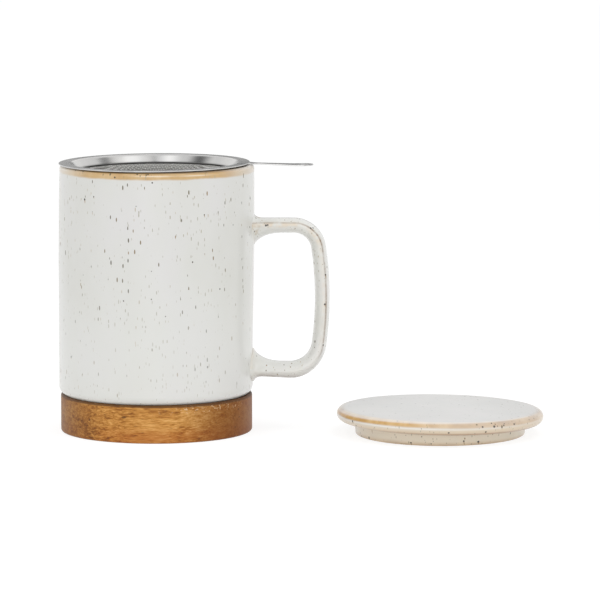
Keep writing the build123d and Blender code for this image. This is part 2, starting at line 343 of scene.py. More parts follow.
def mug_handle():
    """Pulled strap: two half ellipses that meet on a soft ridge, carried along the ridge
    line, wider and thicker towards the wall, and bent round the wall by R - sqrt(R^2 - y^2)
    at the roots. `line` is 1 on the thin brown line just outside the ridge, and `wash` where
    the glaze runs thin beside it and under the roots."""
    x, z, heading, from_wall = (part[:, None] for part in ridge_line(230))
    flare, toe, lower_thinning = 4.5, 1.6, 0.9
    fillet = swelling(from_wall, flare) + 0.35 * swelling(from_wall, toe)
    around = full_turn(96)[None, :]
    half_width = strap_width / 2 + 2.0 * fillet
    lower_root = held(1 - from_wall / 18) * (z < shoulder_z + 40)
    outside = outer_thickness(z) + 1.7 * fillet - lower_thinning * lower_root
    inside = strap_inside + 5.0 * swelling(from_wall, 14.0) + 0.8 * swelling(from_wall, 2.2)
    across = half_width * np.cos(around)
    thick = np.where(np.sin(around) > 0, outside, inside) * np.sin(around)
    uneven = 0.985 + 0.015 * slow_waves(around, 9 * heading + x / 9, 3, 3.0)
    across, thick = across * uneven, thick * uneven
    # The section stands square to the line: its thickness is laid along the line's left side.
    near = swelling(from_wall, 10, power=2)
    wrapped = lip_radius - np.sqrt(lip_radius**2 - across**2)
    grid = together(x - thick * np.sin(heading) - wrapped * near, across, z + thick * np.cos(heading))
    ends = together(x[[0, -1]], 0, z[[0, -1]])
    ends = np.repeat(ends, around.size, axis=1)
    grid = np.concatenate([ends[:1], grid, ends[1:]])
    # The line is strongest over the upper corner, holds down the grip and fades out below.
    arm, corner = bell(heading, 0.0, 0.3), bell(heading, -0.95, 0.42)
    grip = bell(heading, -1.62, 0.24)
    below = held((heading + 2.5) / -0.5) * held(from_wall / 3 + 0.2)
    breaks = 0.72 + 0.28 * slow_waves(3 * heading, 60 * heading + 0 * around, 8, 6.0)
    line = (0.45 + 0.55 * corner + 0.25 * grip) * held((heading + 2.3) / 0.5) * breaks
    line = line * bell(thick, 1.0, 0.32) + below * bell(thick, outside, 1.15)
    wash = (0.1 + 0.75 * arm + 0.6 * corner + 0.15 * grip) * breaks
    wash = wash * bell(thick, 0.1, 1.05) + 0.2 * swelling(from_wall, 3.0) * (thick < -1.5)
    values = {"line": line, "wash": wash}
    for key, numbers in values.items():
        values[key] = held(np.pad(numbers, ((1, 1), (0, 0)), "edge"))[:, ::-1]
    return surface("mug_handle_pulled", grid[:, ::-1], values=values)


def lid():
    """Round-edged disc on a hollow locating ring. `bare` is 1 where the glaze breaks to clay
    on the upper round of the edge, most of all at the front left, and less at the foot of the
    ring. `seam` is 1 on the lower edge of the disc, where it thins to tan. The third mark is a
    painted highlight: a whitish line under the bare band."""
    edge_round = (lid_disc_thickness - 0.3) / 2
    hollow = ring_foot_radius - ring_wall
    top_z = ring_height + lid_disc_thickness
    profile = outline(
        (0, ring_height, 0), (hollow, ring_height, 2.0), (hollow, 0, 0.8),
        (ring_foot_radius, 0, 0.9), (ring_top_radius, ring_height, 0.35),
        (lid_radius, ring_height, edge_round), (lid_radius, top_z, edge_round), (0, top_z, 0),
        spacing=1.2, steps=15,
    )
    grid = turned(profile, 300)
    x, y, height = coordinates(grid)
    radius, angle = np.hypot(x, y), np.arctan2(y, x)
    sag = 0.12 * (0.5 + 0.5 * slow_waves(angle, radius, 12, 14.0)) * held(radius / 30)
    upper = height > ring_height + lid_disc_thickness / 2
    grid = hand_made(grid, 0.1, 9)
    grid[..., 2] = np.where(upper, grid[..., 2] - sag, grid[..., 2])
    front_left, front_right, seam_side, highlight_side = 220, 322, 292, 250
    low, high = top_z - 2.7, top_z - 0.3
    band = held((height - low) / 0.6) * held((high - height) / 0.5 + 1)
    band = band * (radius > lid_radius - 3.4)
    uneven = 0.5 + 0.5 * slow_waves(2 * angle, height, 21, 9.0)
    strength = 0.14 + 0.12 * uneven + facing(angle, front_left) ** 5
    strength = strength + 0.34 * facing(angle, front_right) ** 6
    foot = 0.85 * held(1 - height / 1.3) * (radius > hollow - 1)
    bare = held(band * strength + foot)
    seam = bell(height, ring_height + 0.35, 0.55) * (radius > lid_radius - 2.6)
    seam = seam * (0.15 + 0.85 * facing(angle, seam_side) ** 3)
    # Painted highlight: a whitish line just under the bare band, facing the front left.
    painted_highlight = bell(height, top_z - 3.05, 0.28) * (radius > lid_radius - 1)
    painted_highlight = painted_highlight * facing(angle, highlight_side) ** 5
    # The disc warped a little in the kiln: it leans to the right over a ring that sits flat,
    # and is thinner towards the back.
    grid[..., 2] -= lid_lean * grid[..., 0] * held(height / ring_height)
    grid[..., 2] -= np.where(upper, lid_thinning * (grid[..., 1] + lid_radius), 0)
    grid = grid + np.array([lid_x, lid_y, 0])
    return surface("lid_thrown", grid, values={"bare": bare, "seam": seam, "painted_highlight": painted_highlight})


def infuser_rim():
    """One stamping: a flat flange, folded down through a funnel to a short upright collar.
    A mark is 1 along the inner bend where the cloth is tucked under the funnel: painted shade
    that darkens the steel there."""
    slope = math.atan2(funnel_depth, funnel_flare)
    collar_inner = collar_outer - sheet
    upper_fold = fold_radius - sheet * math.tan(slope / 2)
    upper_bend = -funnel_depth + sheet * math.tan((math.pi / 2 - slope) / 2)
    profile = outline(
        (collar_inner, collar_bottom, 0.1), (collar_outer, collar_bottom, 0.1),
        (collar_outer, -funnel_depth, 0.5), (fold_radius, 0, 0.9),
        (flange_radius, 0, 0.22), (flange_radius, sheet, 0.22),
        (upper_fold, sheet, 1.4), (collar_inner, upper_bend, 0.8),
        spacing=0.5, closed=True, steps=7,
    )
    grid = turned(profile, 300)
    x, y, z = coordinates(grid)
    # Painted shade along the inner bend under the funnel.
    bend_shade = bell(z, upper_bend - 0.2, 0.42) * (np.hypot(x, y) < collar_outer + 0.6)
    return surface("infuser_rim_stamped", hang(grid), closed_rows=True, values={"bend_shade": bend_shade})


def infuser_clamp_ring():
    """Plain band with eased edges round the top of the mesh."""
    inner, top = clamp_outer - sheet, mesh_top - 0.3
    profile = outline(
        (inner, collar_bottom, 0.12), (clamp_outer, collar_bottom, 0.12),
        (clamp_outer, top, 0.12), (inner, top, 0.12),
        spacing=0.6, closed=True, steps=5,
    )
    return surface("infuser_clamp_band", hang(turned(profile, 300)), closed_rows=True)


def bowl_line():
    """Middle of the cloth from the bottom of the bowl up to its edge inside the collar, as
    run, radius, height and the slope of the line."""
    radius = mesh_outer - 0.2
    inside_collar = collar_outer - sheet - wire - 0.04
    taper_run = (bowl_depth + collar_bottom) * math.tan(math.radians(20))
    profile = outline(
        (0, -bowl_depth + 0.2, 0), (radius - taper_run, -bowl_depth + 0.2, 11.8),
        (radius, collar_bottom - 2.0, 1.0), (inside_collar, collar_bottom - 0.3, 1.0),
        (inside_collar, -funnel_depth - 0.6, 0),
        spacing=0.4, steps=40,
    )
    across, height = profile.T
    run = run_of(across, height)
    return run, across, height, np.arctan2(np.gradient(height, run), np.gradient(across, run))


def drape(a, b):
    """Point (a, b) of the flat cloth laid on the bowl: its distance from the middle becomes
    the run up the bowl, and its direction stays. Returns the point and the outward normal."""
    run, radius, height, slope = bowl_line()
    distance = np.hypot(a, b)
    direction = np.arctan2(b, a)
    r, z, t = (np.interp(distance, run, values) for values in (radius, height, slope))
    c, s = np.cos(direction), np.sin(direction)
    return together(r * c, r * s, z), together(np.sin(t) * c, np.sin(t) * s, -np.cos(t))


def woven_wires(name, crosswise):
    """One family of wires: wire k lies at offset c = (k + 1/2) pitch in the flat cloth, goes
    over and under by turns at each crossing, and ends where the bowl does. `under` is 1 where
    the wire passes outside its neighbours, and darkens it there as painted shade."""
    reach = bowl_line()[0][-1]
    count = int(reach / cloth_pitch) + 1
    offset = (np.arange(-count, count) + 0.5) * cloth_pitch
    station = np.arange(-count - 1, count + 2) * cloth_pitch - cloth_pitch / 2
    if crosswise:
        station = station + cloth_pitch
    limit = np.sqrt(np.maximum(reach**2 - offset**2, 0))[:, None]
    along = np.clip(station[None, :], -limit, limit)
    offset = offset[:, None] + 0 * along
    rows, columns = np.indices(along.shape)
    lift = (-1.0) ** (rows + columns + crosswise)

    def laid(along):
        return drape(*((offset, along) if crosswise else (along, offset)))

    point, normal = laid(along)
    point = point + normal * (lift * wire / 2)[..., None]
    tangent = laid(along + 0.05)[0] - laid(along - 0.05)[0]
    side = np.cross(tangent, normal)
    side = side / np.maximum(np.linalg.norm(side, axis=-1, keepdims=True), 1e-9)
    turn = full_turn(4)[:, None] + math.pi / 4
    out = np.cos(turn) * side[:, :, None] + np.sin(turn) * normal[:, :, None]
    ring = point[:, :, None] + wire / 2 * out
    index = numbered(ring)
    index = np.concatenate([index, index[:, :, :1]], axis=2)
    kept = (np.diff(along, axis=1) > 1e-6) & (limit > cloth_pitch / 2)
    # Painted shade: 1 where the wire lies outside its neighbours, dipped away from the inside of the
    # bowl.
    under = np.repeat(0.5 + 0.5 * lift, 4)
    piece = mesh_piece(name, hang(ring.reshape(-1, 3)), quads_between(index)[kept], {"under": under})
    alter(piece, close_ends)
    return piece


def close_ends(work):
    """Fills the open ends of the wires."""
    edges = [edge for edge in work.edges if edge.is_boundary]
    bmesh.ops.holes_fill(work, edges=edges, sides=6)


def infuser_tab():
    """Stamped tab: flat under the flange, bent slightly down beyond it, with a waisted neck
    and a round paddle with a hole. Two sheets of quads share the line where they meet: the
    shank runs across from edge to edge, the paddle from the hole out to the edge."""
    root_x, neck_x = fold_radius + 1.3, flange_radius + 3.5
    neck_half, paddle_half, root_half = 2.0, 4.5, 4.5
    paddle_x = flange_radius + tab_reach - paddle_half
    root_end, cut_x = root_x + 2.6, paddle_x - 6.5
    lean = math.asin((paddle_half - neck_half) / (paddle_x - neck_x))

    def waist(x):
        return neck_half / math.cos(lean) + (x - neck_x) * math.tan(lean)

    def half_width(x):
        share = held((x - root_end) / (neck_x - root_end))
        narrowing = neck_half * 1.005 - root_half
        return np.where(x < neck_x, root_half + narrowing * (3 * share**2 - 2 * share**3), waist(x))

    def lay(x, y):
        fall = np.clip(x - flange_radius, 0, paddle_x - paddle_half - flange_radius)
        return hang(together(x, y, -sheet / 2 - fall * math.tan(tab_droop)))

    def seal(work):
        bmesh.ops.remove_doubles(work, verts=work.verts, dist=0.002 * mm)
        bmesh.ops.recalc_face_normals(work, faces=work.faces)

    x, across = np.linspace(root_x, cut_x, 40)[:, None], np.linspace(-1, 1, 13)
    shank = lay(x, half_width(x) * across)
    # Paddle: rays from the hole's centre out to the cut line, the tapered edges or the round.
    cut_half, cut_away = float(half_width(np.array(cut_x))), cut_x - paddle_x
    corner, turn = math.atan2(cut_half, cut_away), 2 * math.pi
    ray = np.concatenate([np.arctan2(cut_half * across[::-1], cut_away) % turn,
                          np.linspace(-corner, corner, 60)[1:-1] % turn])
    c, s = np.cos(ray), np.sin(ray)
    straight = waist(paddle_x) / np.maximum(np.abs(s) - c * math.tan(lean), 1e-6)
    edge = np.where(c > -math.sin(lean), paddle_half, straight)
    cut = np.where(c < -1e-6, cut_away / np.minimum(c, -1e-6), 1e9)
    share = np.linspace(0, 1, 7)[:, None]
    out = hole_radius + (np.minimum(edge, cut) - hole_radius) * share
    paddle = lay(paddle_x + out * c, out * s)
    shank_index = numbered(shank)
    paddle_index = numbered(paddle, shank_index.size)
    paddle_index = np.hstack([paddle_index, paddle_index[:, :1]])
    points = np.concatenate([shank.reshape(-1, 3), paddle.reshape(-1, 3)])
    quads = [quads_between(index.T).swapaxes(0, 1).reshape(-1, 4)
             for index in (shank_index, paddle_index)]
    piece = mesh_piece("infuser_tab_stamped", points, np.concatenate(quads))
    alter(piece, seal)
    thicken = piece.modifiers.new("sheet thickness", "SOLIDIFY")
    thicken.thickness, thicken.offset = sheet * mm, 0
    ease = piece.modifiers.new("eased edges", "BEVEL")
    ease.width, ease.segments, ease.limit_method = 0.13 * mm, 3, "ANGLE"
    return piece


# -------------------------------- finishes
def tone(red, green, blue):
    """Display colour from 0 to 255 as the linear colour that a shader takes."""
    c = np.array([red, green, blue]) / 255
    return (*np.where(c <= 0.04045, c / 12.92, ((c + 0.055) / 1.055) ** 2.4).tolist(), 1.0)


class Finish:
    """Shader nodes of a material, or of a world, under construction: `add` makes a node, sets
    or links its sockets, and returns it, and the rest are short forms of it."""

    def __init__(self, name, kind="materials"):
        self.owner = getattr(bpy.data, kind).new(name)
        self.owner.use_nodes = True
        self.tree = self.owner.node_tree
        self.tree.nodes.clear()

    def add(self, kind, sockets=None, **settings):
        made = self.tree.nodes.new("ShaderNode" + kind)
        for key, value in settings.items():
            setattr(made, key, value)
        for key, value in (sockets or {}).items():
            if isinstance(value, bpy.types.NodeSocket):
                self.tree.links.new(value, made.inputs[key])
            else:
                made.inputs[key].default_value = value
        return made

    def math(self, operation, a, b=0.0, clamp=False):
        return self.add("Math", {0: a, 1: b}, operation=operation, use_clamp=clamp).outputs[0]

    def times(self, product, *factors):
        for factor in factors:
            product = self.math("MULTIPLY", product, factor)
        return product

    def plus(self, a, b, clamp=False):
        return self.math("ADD", a, b, clamp)

    def minus(self, a, b):
        return self.math("SUBTRACT", a, b)

    def vector(self, operation, a, b=(0, 0, 0)):
        """Sum, difference or product of two vectors, or the length of one or between two."""
        made = self.add("VectorMath", {0: a, 1: b}, operation=operation)
        return made.outputs["Value" if operation in ("LENGTH", "DISTANCE") else "Vector"]

    def split(self, where):
        """Sockets of X, Y and Z."""
        return self.add("SeparateXYZ", {"Vector": where}).outputs

    def ramp(self, value, low, high):
        """Smooth step from 0 at `low` to 1 at `high`; `low` may be the larger."""
        sockets = {"Value": value, "From Min": low, "From Max": high}
        return self.add("MapRange", sockets, interpolation_type="SMOOTHSTEP").outputs[0]

    def ramp_mm(self, value, low, high):
        """The same for a length, with its ends in millimetres."""
        return self.ramp(value, low * mm, high * mm)

    def place(self, scale=(1, 1, 1), shift=(0, 0, 0), turn=(0, 0, 0)):
        """Object coordinates, shifted, turned and scaled."""
        where = self.add("TexCoord").outputs["Object"]
        sockets = {"Vector": where, "Scale": scale, "Location": shift, "Rotation": turn}
        return self.add("Mapping", sockets).outputs[0]

    def noise(self, where, scale, detail=2.0, rough=0.5, distortion=0.0):
        sockets = {"Vector": where, "Scale": scale, "Detail": detail, "Roughness": rough,
                   "Distortion": distortion}
        return self.add("TexNoise", sockets).outputs["Fac"]

    def cells(self, where, scale):
        """Sockets of scattered cells, and two random numbers of each cell."""
        made = self.add("TexVoronoi", {"Vector": where, "Scale": scale}).outputs
        own = self.add("SeparateColor", {"Color": made["Color"]}).outputs
        return made, own[0], own[1]

    def marked(self, key):
        """Named numbers that come with the mesh."""
        return self.add("Attribute", attribute_name=key).outputs["Fac"]

    def over(self, colour, tint, mask, share=1.0):
        """A tint laid over the colour where the mask is 1, in full or by a share. The tint is
        a socket, or a display colour."""
        if share != 1:
            mask = self.times(mask, share)
        if isinstance(tint, tuple):
            tint = tone(*tint)
        return self.add("Mix", {0: mask, 6: colour, 7: tint}, data_type="RGBA").outputs[2]

    def colours(self, value, *stops):
        """Colour ramp through (position, red, green, blue) stops."""
        made = self.add("ValToRGB", {"Fac": value})
        elements = made.color_ramp.elements
        while len(elements) < len(stops):
            elements.new(0.5)
        for element, (position, *colour) in zip(elements, stops):
            element.position, element.color = position, tone(*colour)
        return made.outputs[0]

    def end(self, shader, output="OutputMaterial"):
        self.add(output, {"Surface": shader.outputs[0]})
        return self.owner

    def principled(self, sockets, height=None, bump=0.0, depth=0.0):
        """Ends the tree in a principled surface, bumped by a height, if there is one, with a
        strength and a depth in millimetres."""
        if height is not None:
            height = {"Height": height, "Strength": bump, "Distance": depth * mm}
            sockets = {**sockets, "Normal": self.add("Bump", height).outputs[0]}
        return self.end(self.add("BsdfPrincipled", sockets))

    def blend(self, share, first, second, output="OutputMaterial"):
        """Ends the tree in a mix of two shaders."""
        sockets = {0: share, 1: first.outputs[0], 2: second.outputs[0]}
        return self.end(self.add("MixShader", sockets), output)

    def seen_directly(self):
        """1 for rays from the camera and rays mirrored by a glossy surface."""
        rays = self.add("LightPath").outputs
        return self.math("MAXIMUM", rays["Is Camera Ray"], rays["Is Glossy Ray"])


def specks(glaze, cell, width, drawn, share, plenty=1.0, tail=0.0, lean=0.0):
    """Iron specks in a `share` of scattered cells: an upright ellipse of distance
    sqrt(h^2 + (z / drawn)^2), up to `width` across, and below it a tail that narrows to
    nothing over `tail`, leaning by `lean`. All in millimetres. `plenty` scales their size in
    places. Returns the masks of the speck and of its tail, and each speck's own number."""
    smallest, soft_edge, tail_width = 0.45, 0.1, 0.85
    where = glaze.place(shift=(cell * mm, 0.0, 2 * cell * mm))
    cells, chance, own = glaze.cells(where, 1000 / cell)
    away = glaze.vector("SUBTRACT", where, cells["Position"])
    kept = glaze.math("GREATER_THAN", chance, 1 - share)
    size = glaze.add("MapRange", {"Value": chance, "From Min": 1 - share, "To Min": smallest})
    reach = glaze.times(size.outputs[0], kept, width / 2 * mm, plenty)
    distance = glaze.vector("LENGTH", glaze.vector("MULTIPLY", away, (1, 1, 1 / drawn)))
    spot = glaze.ramp_mm(glaze.minus(reach, distance), 0.0, soft_edge)
    if not tail:
        return spot, None, own
    below = glaze.times(glaze.split(away)["Z"], -1.0)
    slanted = glaze.add("CombineXYZ", {"X": glaze.times(below, -lean), "Z": below})
    aside = glaze.vector("LENGTH", glaze.vector("ADD", away, slanted.outputs[0]))
    down = glaze.math("DIVIDE", below, tail * mm)
    narrow = glaze.times(reach, glaze.minus(tail_width, down))
    inside = glaze.ramp_mm(glaze.minus(narrow, aside), 0.0, soft_edge)
    return spot, glaze.times(inside, glaze.ramp_mm(below, 0.0, 2 * soft_edge)), own


def glaze_coat(glaze, colour, drawn, plenty, dark, apart):
    """The iron that bleeds through the glaze, laid over its colour: many faint drawn-out
    specks, fewer brown ones, and in a `dark` share of cells `apart` wide a near-black one
    with a tan tail. Returns the colour and the mask of what is sunk and dull."""
    patch = glaze.ramp(glaze.noise(glaze.place(), 34.0, 1.0), 0.3, 0.7)
    patch = glaze.times(glaze.plus(glaze.times(patch, 0.6), 0.72), plenty)
    faint, _, own = specks(glaze, cell=1.5, width=0.48, drawn=2.2 * drawn, share=0.75, plenty=patch)
    tint = glaze.colours(own, (0.1, 170, 164, 146), (0.6, 144, 136, 108), (0.95, 176, 156, 120))
    colour = glaze.over(colour, tint, faint, 0.7)
    brown, smear, own = specks(glaze, cell=2.6, width=0.84, drawn=1.45 * drawn, share=0.55,
                               plenty=plenty, tail=2.1, lean=0.12)
    tint = glaze.colours(own, (0.0, 70, 62, 42), (0.5, 104, 90, 60), (1.0, 150, 120, 78))
    colour = glaze.over(colour, (196, 176, 136), smear, 0.6)
    colour = glaze.over(colour, tint, brown, 0.9)
    iron, trail, _ = specks(glaze, cell=apart, width=1.05, drawn=0.7 + 0.2 * drawn, share=dark,
                            tail=2.9, lean=0.2)
    colour = glaze.over(colour, (164, 132, 84), trail, 0.85)
    return glaze.over(colour, (40, 32, 22), iron), glaze.math("MAXIMUM", brown, iron)


def iron_marks(glaze, colour, marks):
    """Single large iron spots at (x, y, z, radius), in millimetres."""
    for *centre, radius in marks:
        away = glaze.vector("DISTANCE", glaze.place(), [part * mm for part in centre])
        spot = glaze.ramp_mm(away, radius, 0.6 * radius)
        colour = glaze.over(colour, (42, 34, 24), spot, 0.92)
    return colour


def glazed(glaze, colour, sunk, matt=0.26, coat=0.5):
    """Satin glaze with a faint orange-peel surface and a dimple at each larger speck."""
    where = glaze.place()
    rough = glaze.plus(glaze.times(glaze.noise(where, 40.0), 0.12), matt)
    rough = glaze.plus(rough, glaze.times(sunk, 0.25), clamp=True)
    height = glaze.minus(glaze.noise(where, 620.0), glaze.times(sunk, 0.9))
    return glaze.principled(
        {"Base Color": colour, "Roughness": rough, "IOR": 1.5, "Coat Weight": coat,
         "Coat Roughness": 0.09}, height, bump=0.16, depth=0.05,
    )


def speckled_glaze():
    """Glaze of the mug's body: off-white that clouds a little and is lighter lower down, a tan
    lip where it runs thin, painted shadow on the lip under the infuser's flange, a painted
    highlight along the lip and a painted sheen towards its two sides, and bare clay under the foot."""
    glaze = Finish("speckled_glaze")
    where = glaze.place()
    across, _, high = glaze.split(where)
    cloud = glaze.noise(glaze.place(scale=(1, 1, 0.6)), 34.0, 3.0)
    colour = glaze.colours(cloud, (0.32, 217, 217, 211), (0.5, 221, 221, 217), (0.7, 223, 222, 221))
    lighter_below = glaze.ramp_mm(high, 95, 30)
    colour = glaze.over(colour, (229, 230, 226), lighter_below, 0.5)
    # The tan of the lip fades towards its two sides along X: a painted sheen of grazing light.
    level = glaze.plus(high, glaze.times(glaze.noise(where, 150.0), 0.9 * mm))
    sides = glaze.ramp_mm(glaze.math("ABSOLUTE", across), 26, 43)
    lip = glaze.ramp_mm(level, lip_z - 3.1, lip_z - 2.0)
    lip = glaze.times(lip, glaze.minus(1.0, glaze.times(sides, 0.6)))
    tan = glaze.colours(glaze.noise(where, 95.0, 3.0, 0.6), (0.3, 190, 150, 94),
                        (0.5, 204, 168, 114), (0.72, 214, 184, 136))
    # Painted shadow: the top of the lip, under the edge of the infuser's flange, darkened to brown.
    flange_shadow = glaze.ramp_mm(high, lip_z - 0.75, lip_z - 0.3)
    tan = glaze.over(tan, (116, 86, 48), flange_shadow, 0.65)
    # Painted highlight: a broken whitish line along the middle of the tan lip.
    from_middle = glaze.math("ABSOLUTE", glaze.minus(high, (lip_z - 1.35) * mm))
    painted_highlight = glaze.times(glaze.ramp_mm(from_middle, 0.4, 0.1),
                       glaze.ramp(glaze.noise(where, 38.0, 1.0), 0.42, 0.62))
    tan = glaze.over(tan, (240, 226, 202), painted_highlight, 0.75)
    colour = glaze.over(colour, tan, lip)
    lower = glaze.ramp_mm(glaze.plus(high, glaze.times(across, 0.9)), 95, 0)
    plenty = glaze.plus(glaze.times(lower, 0.1), 0.9)
    plenty = glaze.plus(plenty, glaze.times(lip, 0.3))
    coated, sunk = glaze_coat(glaze, colour, drawn=2.2, plenty=plenty, dark=0.45, apart=6.0)
    # Lower down, the lighter colour veils the specks.
    colour = glaze.over(coated, colour, lighter_below, 0.45)
    crest_z, edge_z = lip_z - 0.5, lip_z - 2.1
    colour = iron_marks(glaze, colour, [
        (-34.3, -24.5, crest_z, 0.45), (-30.7, -28.9, crest_z, 0.45),
        (-6.7, -41.9, crest_z, 0.5), (-2.0, -42.4, crest_z, 0.45), (-16.5, -39.6, edge_z, 0.5),
    ])
    foot = glaze.ramp_mm(high, shoulder_z - 0.68, shoulder_z - 0.76)
    clay = glaze.colours(glaze.noise(where, 700.0, 3.0, 0.7), (0.35, 186, 160, 126),
                         (0.65, 212, 188, 154))
    colour = glaze.over(colour, clay, foot)
    sunk = glaze.plus(sunk, glaze.times(foot, 0.8), clamp=True)
    return glazed(glaze, colour, sunk)


def handle_glaze():
    """Glaze of the handle: a thin brown line by the ridge, and tan beside it and at the
    roots."""
    glaze = Finish("speckled_glaze_handle")
    where = glaze.place()
    cloud = glaze.noise(where, 60.0, 3.0)
    colour = glaze.colours(cloud, (0.32, 224, 223, 217), (0.5, 228, 228, 223), (0.7, 230, 229, 226))
    ragged = glaze.ramp(glaze.noise(where, 260.0, 3.0, 0.7), 0.28, 0.6)
    wash = glaze.times(glaze.marked("wash"), ragged)
    colour = glaze.over(colour, (230, 208, 178), wash)
    line = glaze.math("MULTIPLY", glaze.marked("line"), glaze.plus(ragged, 0.5), clamp=True)
    colour = glaze.over(colour, (128, 100, 72), line)
    # Blotches of iron where the handle is luted on.
    root = glaze.ramp_mm(glaze.split(where)["X"], 49.5, 44.5)
    blotch = glaze.noise(glaze.place(shift=(0, 0.013, 0.002)), 210.0, 3.0, 0.6)
    blotch = glaze.times(glaze.ramp(blotch, 0.54, 0.74), root)
    colour = glaze.over(colour, (176, 150, 104), blotch, 0.6)
    colour, sunk = glaze_coat(glaze, colour, drawn=1.0, plenty=1.1, dark=0.8, apart=3.4)
    colour = iron_marks(glaze, colour, [
        (48.5, -6.7, 91.6, 0.6), (49.3, -6.7, 91.8, 0.5), (68.2, -6.0, 90.4, 0.55),
        (69.3, -5.0, 90.4, 0.5),
    ])
    return glazed(glaze, colour, sunk)


def lid_glaze():
    """Glaze of the lid: matt with the faintest specks on the flat top, glossy round the edge,
    amber where it breaks over the edge and cream on the ring."""
    glaze = Finish("lid_glaze")
    where = glaze.place()
    high = glaze.split(where)["Z"]
    cloud = glaze.noise(where, 50.0, 3.0)
    colour = glaze.colours(cloud, (0.32, 219, 219, 216), (0.5, 222, 221, 218), (0.7, 224, 222, 220))
    creamy = glaze.ramp_mm(high, ring_height + 4.4, ring_height + 1.4)
    colour = glaze.over(colour, (227, 208, 180), creamy, 0.92)
    ring = glaze.ramp_mm(high, ring_height + 0.3, ring_height - 0.7)
    colour = glaze.over(colour, (243, 234, 217), ring, 0.85)
    amber = glaze.colours(glaze.noise(where, 120.0, 2.0, 0.6), (0.3, 180, 132, 66),
                          (0.5, 202, 158, 92), (0.7, 220, 184, 128))
    ragged = glaze.ramp(glaze.noise(where, 200.0, 3.0, 0.7), 0.1, 0.4)
    colour = glaze.over(colour, amber, glaze.times(glaze.marked("bare"), ragged))
    colour = glaze.over(colour, (168, 124, 84), glaze.marked("seam"))
    # Painted highlight: a whitish line under the bare band, strongest at the front left.
    colour = glaze.over(colour, (246, 242, 234), glaze.marked("painted_highlight"), 0.85)
    # The flat top is all but free of specks: they are kept for the edge and the ring.
    flat, top_veil = glaze.ramp_mm(high, 10.4, 11.2), 0.62
    rim_only = glaze.times(glaze.minus(1.0, glaze.times(flat, top_veil)), 1.2)
    colour, sunk = glaze_coat(glaze, colour, drawn=1.0, plenty=rim_only, dark=0.85, apart=3.2)
    colour = iron_marks(glaze, colour, [
        (142.4, -53.1, 9.2, 0.55), (147.5, -50.6, 9.0, 0.7), (151.8, -47.9, 9.1, 0.5),
        (156.5, -44.0, 9.1, 0.6),
    ])
    top = glaze.over(tone(236, 236, 235), (241, 240, 239), glaze.ramp(cloud, 0.3, 0.7))
    colour = glaze.over(colour, top, flat, top_veil)
    matt = glaze.plus(glaze.times(flat, 0.3), 0.24)
    return glazed(glaze, colour, sunk, matt, coat=0.4)


def acacia_wood():
    """Oiled wood with its grain along X: patches from golden to reddish brown, fine wavering
    fibres, short dark pores, a few flecks, darker towards both ends along X, painted glints
    under the top edge, and painted shade on the round of the top edge under the mug's shoulder."""
    wood = Finish("acacia_wood")
    x, _, high = wood.split(wood.place())
    broad = wood.noise(wood.place(scale=(0.35, 1, 1), turn=(0, 0.04, 0)), 75.0)
    streak = wood.noise(wood.place(scale=(0.14, 0.6, 1), turn=(0, 0.025, 0)), 640.0, 5.0, 0.7, 0.5)
    fibre = wood.noise(wood.place(scale=(0.1, 0.5, 1)), 2300.0, 3.0, 0.7)
    mixed = wood.plus(wood.times(streak, 0.45), wood.times(broad, 0.2))
    mixed = wood.plus(mixed, wood.times(fibre, 0.35))
    colour = wood.colours(mixed, (0.38, 98, 54, 16), (0.45, 156, 98, 36),
                          (0.5, 188, 128, 56), (0.55, 208, 150, 76), (0.63, 232, 180, 108))
    foxy = wood.times(wood.ramp_mm(high, 8.5, 2), wood.ramp(broad, 0.3, 0.6))
    colour = wood.over(colour, (176, 96, 36), foxy, 0.45)
    # Darker towards both ends along X, most of all over the right half.
    colour = wood.over(colour, (104, 64, 28), wood.ramp_mm(x, -20, -42), 0.6)
    colour = wood.over(colour, (112, 56, 2), wood.ramp_mm(x, 5, 36), 0.76)
    # Open pores: short dark dashes, thicker in the darker streaks.
    pores, own, _ = wood.cells(wood.place(scale=(0.22, 0.7, 1)), 1150.0)
    pore = wood.times(wood.ramp(pores["Distance"], 0.34, 0.12),
                      wood.ramp(own, 0.45, 0.75), wood.ramp(streak, 0.62, 0.42))
    flecks, own, _ = wood.cells(wood.place(scale=(0.3, 1, 1)), 260.0)
    fleck = wood.times(wood.ramp(flecks["Distance"], 0.16, 0.07),
                       wood.math("GREATER_THAN", own, 0.8))
    dark = wood.math("MAXIMUM", wood.times(pore, 0.7), fleck)
    colour = wood.over(colour, (74, 42, 16), dark, 0.75)
    # Painted glints: light flecks just under the top edge, where the pores catch the light.
    glints = wood.noise(wood.place(scale=(0.5, 0.8, 1), shift=(0.02, 0, 0)), 1300.0, 2.0, 0.6)
    near_top = wood.times(wood.ramp_mm(high, 12.2, 14), wood.ramp_mm(x, -10, 20),
                          wood.ramp_mm(x, 40, 34))
    glints = wood.times(wood.ramp(glints, 0.58, 0.68), near_top)
    colour = wood.over(colour, (240, 212, 168), glints, 0.7)
    # Painted shade: the round of the top edge and 2 mm in over the top, as far as the mug's
    # shoulder hides it, are darkened as the shoulder's shade would darken them.
    level = wood.plus(high, wood.times(broad, 0.4 * mm))
    out = wood.vector("LENGTH", wood.place(scale=(1, 1, 0)))
    top = wood.times(wood.ramp_mm(level, base_height - 1.15, base_height - 0.45),
                     wood.ramp_mm(out, base_radius - 3, base_radius - 2))
    colour = wood.over(colour, (84, 50, 18), top, 0.88)
    rough = wood.plus(wood.times(fibre, 0.25), 0.36)
    return wood.principled(
        {"Base Color": colour, "Roughness": rough, "IOR": 1.42, "Specular IOR Level": 0.3,
         "Coat Weight": 0.05, "Coat Roughness": 0.25},
        wood.minus(fibre, dark), bump=0.35, depth=0.07,
    )


